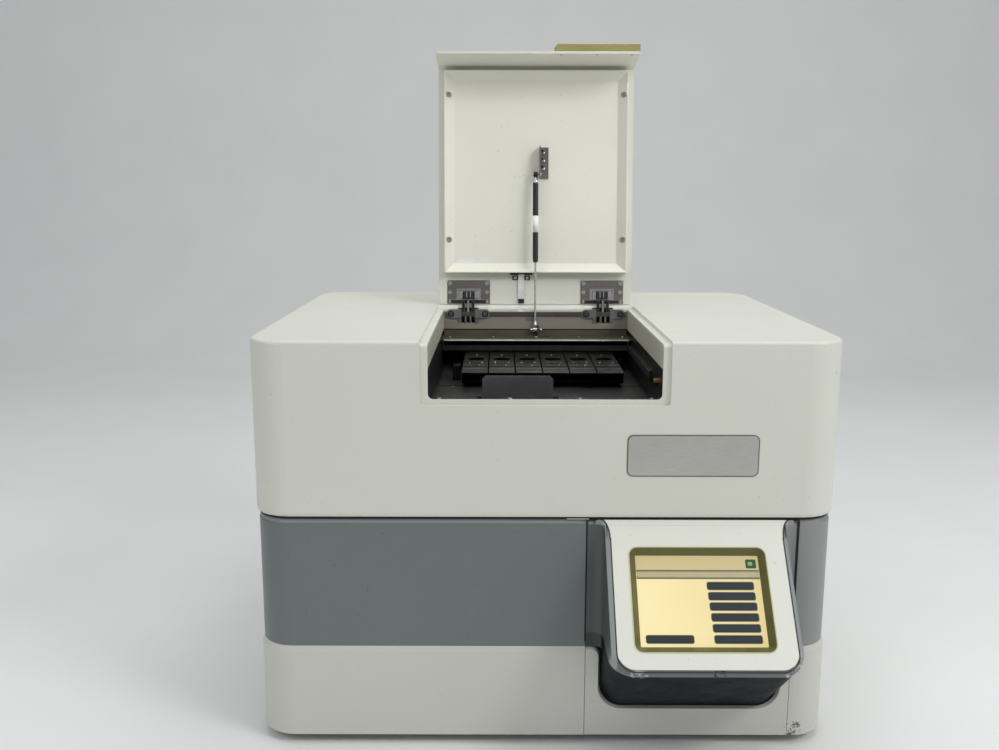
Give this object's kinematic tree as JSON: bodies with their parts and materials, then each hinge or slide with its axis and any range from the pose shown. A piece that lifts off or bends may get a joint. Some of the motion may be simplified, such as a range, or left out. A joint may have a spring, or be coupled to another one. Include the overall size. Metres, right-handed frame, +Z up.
{
  "type": "gene expression analyzer",
  "caption": "Bench analyser with a cream and grey housing, a sample bay under an open hinged lid and a tilted touch console.",
  "frame": {"origin": "On the table under the middle of the whole outline, from the console's front edge to the back.", "axes": "X to the right seen from the front, Y from the front to the back, Z up."},
  "size_m": [0.69, 0.6584, 0.8613],
  "materials": {
    "cover_paint": "fine satin texture",
    "base_paint": "fine satin texture",
    "band_paint": "satin",
    "seal_black": "matt",
    "black_metal": "matt black",
    "carrier_black": "black anodised",
    "steel": "brushed",
    "bright_metal": "polished",
    "black_plastic": "matt",
    "gold_anodised": "satin anodised",
    "olive_plastic": "satin",
    "screen": "lit display"
  },
  "bodies": {
    "housing": {"top_cover": "cover_paint", "cover_seal": "seal_black", "mid_band": "band_paint", "base_shell": "base_paint", "base_plate": "steel", "foot_pads": "seal_black", "rear_panel": "steel", "rear_panel_screws": "bright_metal", "power_inlet": "black_plastic", "switch_frame": "black_plastic", "fan_guard": "bright_metal", "fan_frame": "black_plastic", "io_ports": "black_plastic", "console_housing": "band_paint", "console_lower_panel": "base_paint", "console_face": "cover_paint", "screen_bezel": "olive_plastic", "touch_display": "screen", "bay_frame": "black_metal", "bay_lip": "black_metal", "bay_screws": "bright_metal", "bay_stops": "steel", "wall_bumper": "bright_metal", "shelf_plate": "steel", "bay_crossbar": "black_metal", "front_plate": "black_metal", "strut_foot_bracket": "black_metal", "hinge_leaf_left": "steel", "hinge_leaf_right": "steel", "hinge_pins": "bright_metal", "hinge_leaf_screws": "bright_metal", "stage_rails": "steel", "imaging_head": "black_metal", "power_supply": "steel"},
    "lid": {"lid_shell": "cover_paint", "lid_liner": "cover_paint", "lid_handle": "gold_anodised", "handle_screws": "bright_metal", "liner_screws": "bright_metal", "latch_strike": "black_metal", "hinge_arm_left": "steel", "hinge_arm_right": "steel", "lid_hinge_plate_left": "steel", "lid_hinge_plate_right": "steel", "hinge_plate_screws": "bright_metal", "strut_lid_bracket": "black_metal"},
    "stage": {"stage_base": "black_metal", "cartridge_plate_1": "carrier_black", "cartridge_plate_2": "carrier_black", "cartridge_plate_3": "carrier_black", "cartridge_plate_4": "carrier_black", "cartridge_plate_5": "carrier_black", "cartridge_plate_6": "carrier_black", "cartridge_screws": "bright_metal", "runner_left": "black_metal", "runner_right": "black_metal"},
    "strut_rod_body": {"strut_rod": "bright_metal"},
    "strut_tube_body": {"strut_tube": "black_plastic"},
    "rocker": {"power_rocker": "black_plastic"},
    "fan": {"fan_rotor": "black_plastic"}
  },
  "joints": [
    {"name": "lid_hinge", "type": "hinge", "parent": "housing", "child": "lid", "pos_m": [-0.0017, 0.13675, 0.4857], "axis": [1, 0, 0], "range_deg": [0, 96]},
    {"name": "strut_swing", "type": "hinge", "parent": "housing", "child": "strut_rod_body", "pos_m": [-0.0023, 0.11325, 0.461], "axis": [1, 0, 0], "range_deg": [0, 94.11]},
    {"name": "strut_slide", "type": "slide", "parent": "strut_rod_body", "child": "strut_tube_body", "axis": [0, 0.1445, 0.9895], "range_m": [-0.05032, 0]},
    {"name": "stage_slide", "type": "slide", "parent": "housing", "child": "stage", "axis": [0, 1, 0], "range_m": [0, 0.15]},
    {"name": "power_switch", "type": "hinge", "parent": "housing", "child": "rocker", "pos_m": [0.138, 0.32075, 0.078], "axis": [-1, 0, 0], "range_deg": [0, 20]},
    {"name": "fan_spin", "type": "hinge", "parent": "housing", "child": "fan", "pos_m": [-0.16, 0.30675, 0.16], "axis": [0, 1, 0], "continuous": true}
  ],
  "couplings": [
    {"joint": "strut_swing", "follows": "lid_hinge", "ratio": 0.97976},
    {"joint": "strut_slide", "follows": "lid_hinge", "m_per_rad": -0.029974}
  ]
}
